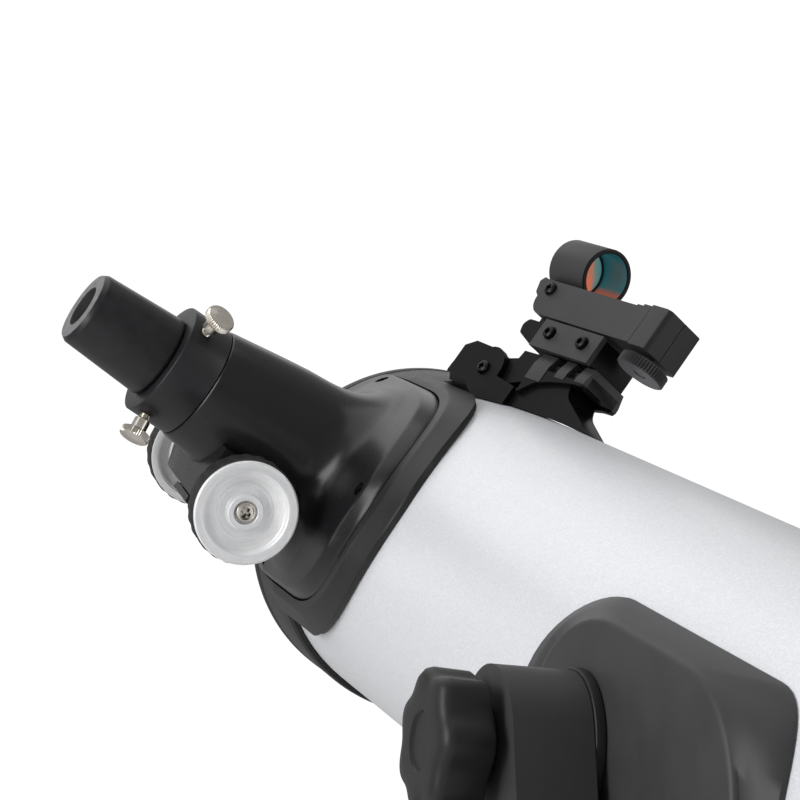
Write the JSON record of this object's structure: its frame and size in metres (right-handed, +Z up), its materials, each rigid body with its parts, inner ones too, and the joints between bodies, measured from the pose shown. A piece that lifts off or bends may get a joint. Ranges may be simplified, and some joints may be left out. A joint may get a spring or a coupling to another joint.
{
  "type": "newtonian reflector telescope",
  "caption": "Reflector telescope: silver tube with a side focuser, eyepiece and red-dot finder near its open end, on a single-arm tabletop base that turns and tilts.",
  "frame": {"origin": "centre of the bounding box's footprint, on the surface the feet stand on", "axes": "+Z up; +Y the heading the tube looks along at rest, raised 26 degrees; +X to its right, so the focuser and the arm are on the -X side"},
  "size_m": [0.4145, 0.8476, 0.7913],
  "materials": {
    "tube_paint": "fine silver metallic paint",
    "satin_black_plastic": "satin, fine moulded grain",
    "focuser_black": "smooth semi-gloss",
    "anodised_black": "black anodised, satin",
    "turned_aluminium": "turned, bright",
    "nickel_plate": "warm nickel",
    "steel": "plain",
    "grip_rubber": "matte",
    "coated_glass": "coated",
    "mirror_coating": "first-surface mirror",
    "finder_plastic": "satin black",
    "cradle_grey": "dark grey satin",
    "arm_board": "painted dark grey board, satin",
    "board_laminate": "black laminated board",
    "bearing_plastic": "smooth white"
  },
  "bodies": {
    "base": {"ground_board": "board_laminate", "azimuth_bearing": "bearing_plastic", "foot_1": "grip_rubber", "foot_2": "grip_rubber", "foot_3": "grip_rubber"},
    "mount": {"turntable": "board_laminate", "azimuth_bolt": "steel", "altitude_arm": "arm_board", "altitude_hub": "satin_black_plastic"},
    "altitude_knob": {"altitude_knob": "satin_black_plastic"},
    "optical_tube": {"main_tube": "tube_paint", "front_bezel": "satin_black_plastic", "front_cell": "satin_black_plastic", "rear_ring": "satin_black_plastic", "primary_mirror": "mirror_coating", "mirror_cell": "satin_black_plastic", "rear_plate": "satin_black_plastic", "collimation_spring_1": "steel", "collimation_spring_2": "steel", "collimation_spring_3": "steel", "spider": "satin_black_plastic", "secondary_holder": "satin_black_plastic", "secondary_mirror": "mirror_coating", "secondary_bolt": "steel", "focuser_body": "focuser_black", "base_screw_1": "satin_black_plastic", "base_screw_2": "satin_black_plastic", "base_screw_3": "satin_black_plastic", "pinion_cover": "focuser_black", "finder_foot": "finder_plastic", "finder_bracket": "finder_plastic", "hinge_screw": "steel", "clamp_block": "finder_plastic", "clamp_plate": "finder_plastic", "clamp_screw_1": "finder_plastic", "clamp_screw_2": "finder_plastic", "altitude_cradle": "cradle_grey"},
    "drawtube": {"drawtube": "anodised_black", "eyepiece_collar": "anodised_black"},
    "eyepiece": {"eyepiece_body": "anodised_black", "eye_lens": "coated_glass", "field_lens": "coated_glass"},
    "thumbscrew_upper": {"thumbscrew_upper": "nickel_plate"},
    "thumbscrew_lower": {"thumbscrew_lower": "nickel_plate"},
    "focus_knobs": {"pinion_shaft": "steel", "focus_knob_near": "turned_aluminium", "focus_knob_far": "turned_aluminium", "knob_grip_near": "grip_rubber", "knob_grip_far": "grip_rubber", "knob_screw_near": "nickel_plate", "knob_screw_far": "nickel_plate"},
    "finder": {"finder_body": "finder_plastic", "finder_window": "coated_glass", "finder_rear_cap": "finder_plastic", "pivot_screw": "steel"},
    "aiming_wheel": {"aiming_wheel": "finder_plastic"},
    "brightness_dial": {"brightness_dial": "finder_plastic"},
    "collimation_knob_1": {"collimation_knob_1": "nickel_plate"},
    "collimation_knob_2": {"collimation_knob_2": "nickel_plate"},
    "collimation_knob_3": {"collimation_knob_3": "nickel_plate"}
  },
  "joints": [
    {"name": "azimuth_turn", "type": "hinge", "parent": "base", "child": "mount", "pos_m": [0.0023, -0.0522, 0.04], "axis": [0, 0, 1], "continuous": true},
    {"name": "altitude_tilt", "type": "hinge", "parent": "mount", "child": "optical_tube", "pos_m": [0.0023, -0.0522, 0.4602], "axis": [1, 0, 0], "range_deg": [-26, 64]},
    {"name": "altitude_knob_turn", "type": "hinge", "parent": "mount", "child": "altitude_knob", "pos_m": [0.0023, -0.0522, 0.4602], "axis": [-1, 0, 0], "range_deg": [0, 360]},
    {"name": "focus_knob_turn", "type": "hinge", "parent": "optical_tube", "child": "focus_knobs", "pos_m": [-0.12182, 0.29715, 0.66027], "axis": [-0.0388, -0.8621, -0.5052], "range_deg": [0, 396]},
    {"name": "drawtube_slide", "type": "slide", "parent": "optical_tube", "child": "drawtube", "axis": [-0.891, -0.199, 0.408], "range_m": [0, 0.045]},
    {"name": "eyepiece_pull", "type": "slide", "parent": "drawtube", "child": "eyepiece", "axis": [-0.891, -0.199, 0.408], "range_m": [0, 0.04]},
    {"name": "thumbscrew_upper_turn", "type": "hinge", "parent": "drawtube", "child": "thumbscrew_upper", "pos_m": [-0.14135, 0.23866, 0.71923], "axis": [0.3483, -0.8762, 0.3332], "range_deg": [0, 720]},
    {"name": "thumbscrew_lower_turn", "type": "hinge", "parent": "drawtube", "child": "thumbscrew_lower", "pos_m": [-0.17024, 0.2735, 0.67313], "axis": [-0.4263, 0.0579, -0.9027], "range_deg": [0, 720]},
    {"name": "aiming_wheel_turn", "type": "hinge", "parent": "finder", "child": "aiming_wheel", "pos_m": [0.05365, 0.19921, 0.70643], "axis": [0.5113, -0.2691, 0.8162], "range_deg": [-1080, 1080]},
    {"name": "finder_tilt", "type": "hinge", "parent": "optical_tube", "child": "finder", "pos_m": [0.03973, 0.26207, 0.75694], "axis": [-0.8112, -0.4648, 0.3549], "range_deg": [-1.51, 1.51]},
    {"name": "brightness_dial_turn", "type": "hinge", "parent": "finder", "child": "brightness_dial", "pos_m": [0.06091, 0.22944, 0.7274], "axis": [0.8112, 0.4648, -0.3549], "range_deg": [0, 300]},
    {"name": "collimation_knob_1_turn", "type": "hinge", "parent": "optical_tube", "child": "collimation_knob_1", "pos_m": [-0.02493, -0.40763, 0.3335], "axis": [0, 0.8988, 0.4384], "range_deg": [-360, 360]},
    {"name": "collimation_knob_2_turn", "type": "hinge", "parent": "optical_tube", "child": "collimation_knob_2", "pos_m": [0.05223, -0.3904, 0.29816], "axis": [0, 0.8988, 0.4384], "range_deg": [-360, 360]},
    {"name": "collimation_knob_3_turn", "type": "hinge", "parent": "optical_tube", "child": "collimation_knob_3", "pos_m": [-0.0204, -0.36972, 0.25577], "axis": [0, 0.8988, 0.4384], "range_deg": [-360, 360]}
  ],
  "couplings": [
    {"joint": "drawtube_slide", "follows": "focus_knob_turn", "m_per_rad": 0.0065},
    {"joint": "finder_tilt", "follows": "aiming_wheel_turn", "ratio": 0.001393}
  ]
}
